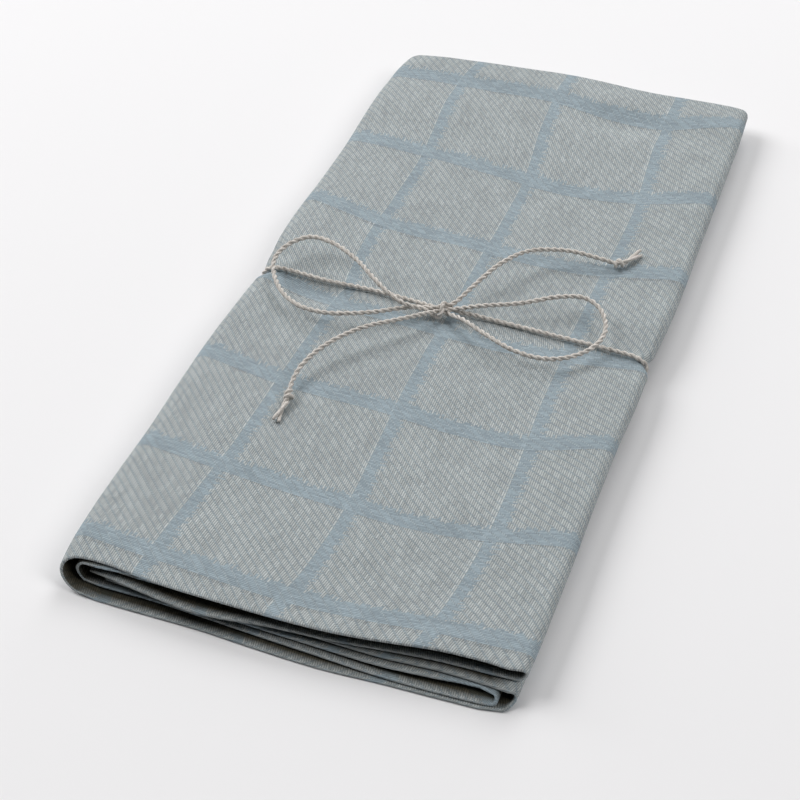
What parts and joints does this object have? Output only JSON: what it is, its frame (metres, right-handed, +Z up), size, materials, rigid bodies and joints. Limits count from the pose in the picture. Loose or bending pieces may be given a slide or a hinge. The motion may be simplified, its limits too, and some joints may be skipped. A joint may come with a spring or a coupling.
{
  "type": "folded linen towel",
  "caption": "Linen kitchen towel with a fine check, folded flat into a long pack and tied round the middle with natural twine in a bow.",
  "frame": {"origin": "middle of the folded towel's footprint, on the surface that it rests on", "axes": "+Y along the towel's length, from the cloth's hemmed ends to the fold at the far end; +X across it, from the wide wrapping fold to the two tight folds; +Z up"},
  "size_m": [0.127, 0.264, 0.0186],
  "materials": {
    "linen": "matte blue-grey damask linen",
    "twine": "matte two-ply hemp or flax twine"
  },
  "bodies": {
    "root": {"towel_cloth": "linen", "twine_tie": "twine"}
  },
  "joints": []
}
